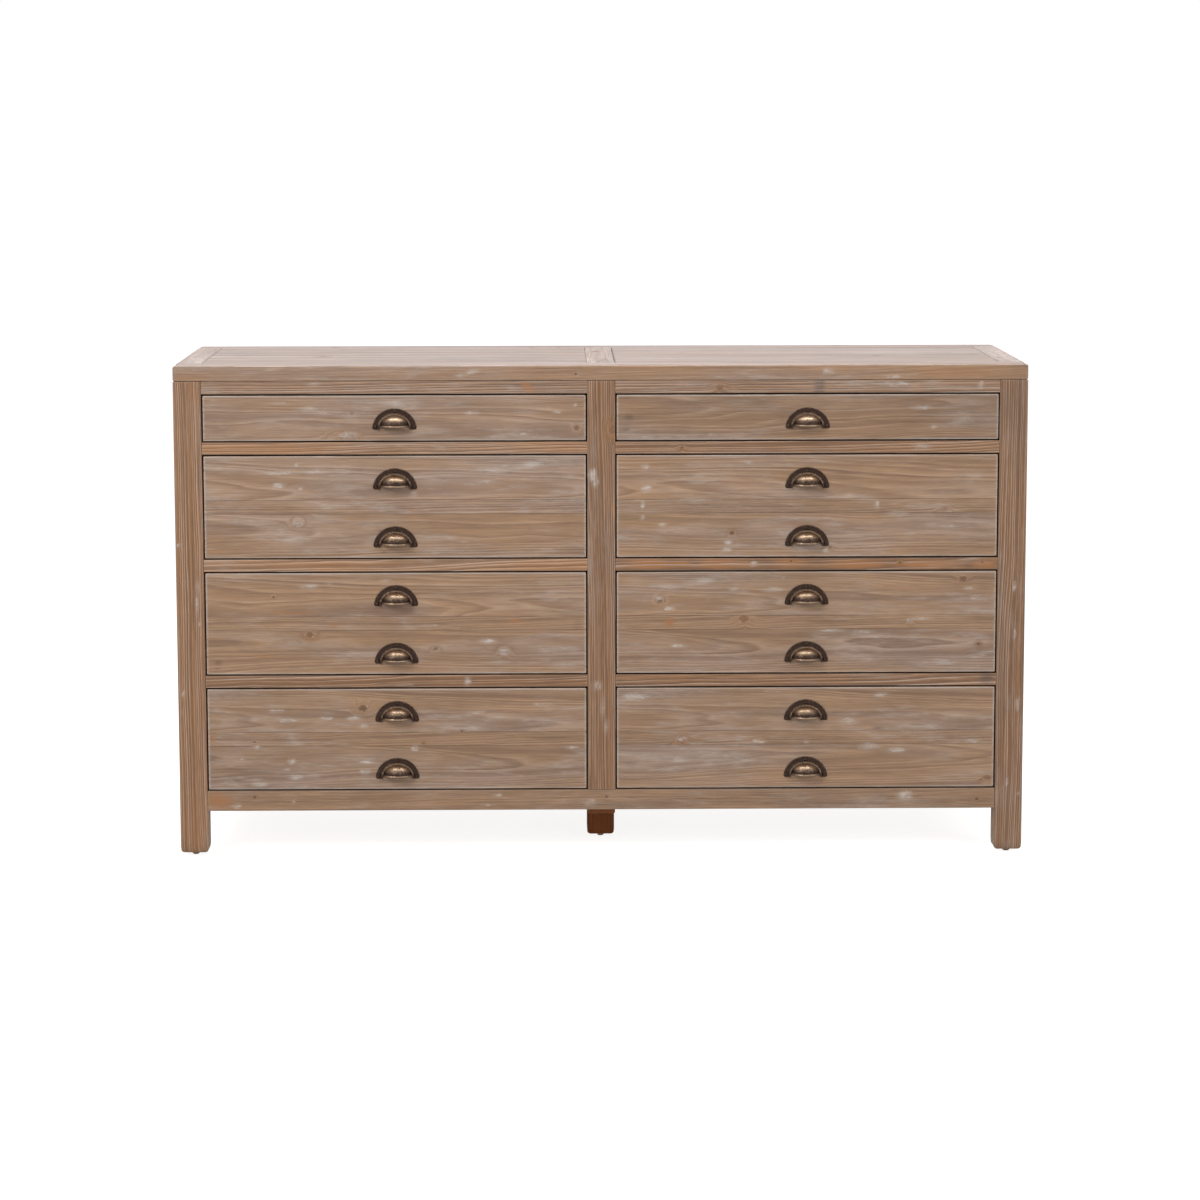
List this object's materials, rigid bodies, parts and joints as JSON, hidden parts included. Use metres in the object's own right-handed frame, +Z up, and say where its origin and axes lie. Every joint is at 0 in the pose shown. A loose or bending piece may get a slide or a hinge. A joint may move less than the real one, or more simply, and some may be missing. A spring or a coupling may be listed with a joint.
{
  "type": "apothecary chest",
  "caption": "Long limed-pine apothecary chest on square legs, with a framed top and rows of inset drawers that open by bronze cup pulls.",
  "frame": {"origin": "on the floor, under the middle of the bounding box of the whole chest, pulls included, drawers shut", "axes": "+X to the right as seen from the front, +Y towards the back, +Z up; the drawers face -Y and open that way"},
  "size_m": [1.524, 0.531, 0.889],
  "materials": {
    "limed_pine": "limed and waxed, matt",
    "plain_pine": "bare planed",
    "bronze": "antique bronze, worn bright on the cups",
    "steel": "dull nickel plate"
  },
  "bodies": {
    "carcass": {"back_panels": "plain_pine", "back_rails": "limed_pine", "back_stile": "limed_pine", "bottom_boards": "plain_pine", "bottom_front_rail": "limed_pine", "centre_bearer": "plain_pine", "centre_foot": "limed_pine", "centre_partition": "plain_pine", "centre_stile": "limed_pine", "drawer_guides": "plain_pine", "drawer_runners": "plain_pine", "drawer_stops": "plain_pine", "foot_glides": "steel", "front_left_leg": "limed_pine", "front_right_leg": "limed_pine", "front_top_rails": "limed_pine", "left_drawer_rails": "limed_pine", "left_side_panel": "limed_pine", "left_side_rails": "limed_pine", "rear_left_leg": "limed_pine", "rear_right_leg": "limed_pine", "right_drawer_rails": "limed_pine", "right_side_panel": "limed_pine", "right_side_rails": "limed_pine", "top_cross_rails": "limed_pine", "top_long_rails": "limed_pine", "top_panels": "limed_pine"},
    "left_drawer_1": {"left_drawer_1_box": "plain_pine", "left_drawer_1_front": "limed_pine", "left_drawer_1_pull_screws": "bronze", "left_drawer_1_pulls": "bronze"},
    "left_drawer_2": {"left_drawer_2_box": "plain_pine", "left_drawer_2_front": "limed_pine", "left_drawer_2_pull_screws": "bronze", "left_drawer_2_pulls": "bronze"},
    "left_drawer_3": {"left_drawer_3_box": "plain_pine", "left_drawer_3_front": "limed_pine", "left_drawer_3_pull_screws": "bronze", "left_drawer_3_pulls": "bronze"},
    "left_drawer_4": {"left_drawer_4_box": "plain_pine", "left_drawer_4_front": "limed_pine", "left_drawer_4_pull_screws": "bronze", "left_drawer_4_pulls": "bronze"},
    "right_drawer_1": {"right_drawer_1_box": "plain_pine", "right_drawer_1_front": "limed_pine", "right_drawer_1_pull_screws": "bronze", "right_drawer_1_pulls": "bronze"},
    "right_drawer_2": {"right_drawer_2_box": "plain_pine", "right_drawer_2_front": "limed_pine", "right_drawer_2_pull_screws": "bronze", "right_drawer_2_pulls": "bronze"},
    "right_drawer_3": {"right_drawer_3_box": "plain_pine", "right_drawer_3_front": "limed_pine", "right_drawer_3_pull_screws": "bronze", "right_drawer_3_pulls": "bronze"},
    "right_drawer_4": {"right_drawer_4_box": "plain_pine", "right_drawer_4_front": "limed_pine", "right_drawer_4_pull_screws": "bronze", "right_drawer_4_pulls": "bronze"}
  },
  "joints": [
    {"name": "left_drawer_1_slide", "type": "slide", "parent": "carcass", "child": "left_drawer_1", "axis": [0, -1, 0], "range_m": [0, 0.33]},
    {"name": "left_drawer_2_slide", "type": "slide", "parent": "carcass", "child": "left_drawer_2", "axis": [0, -1, 0], "range_m": [0, 0.33]},
    {"name": "left_drawer_3_slide", "type": "slide", "parent": "carcass", "child": "left_drawer_3", "axis": [0, -1, 0], "range_m": [0, 0.33]},
    {"name": "left_drawer_4_slide", "type": "slide", "parent": "carcass", "child": "left_drawer_4", "axis": [0, -1, 0], "range_m": [0, 0.33]},
    {"name": "right_drawer_1_slide", "type": "slide", "parent": "carcass", "child": "right_drawer_1", "axis": [0, -1, 0], "range_m": [0, 0.33]},
    {"name": "right_drawer_2_slide", "type": "slide", "parent": "carcass", "child": "right_drawer_2", "axis": [0, -1, 0], "range_m": [0, 0.33]},
    {"name": "right_drawer_3_slide", "type": "slide", "parent": "carcass", "child": "right_drawer_3", "axis": [0, -1, 0], "range_m": [0, 0.33]},
    {"name": "right_drawer_4_slide", "type": "slide", "parent": "carcass", "child": "right_drawer_4", "axis": [0, -1, 0], "range_m": [0, 0.33]}
  ]
}
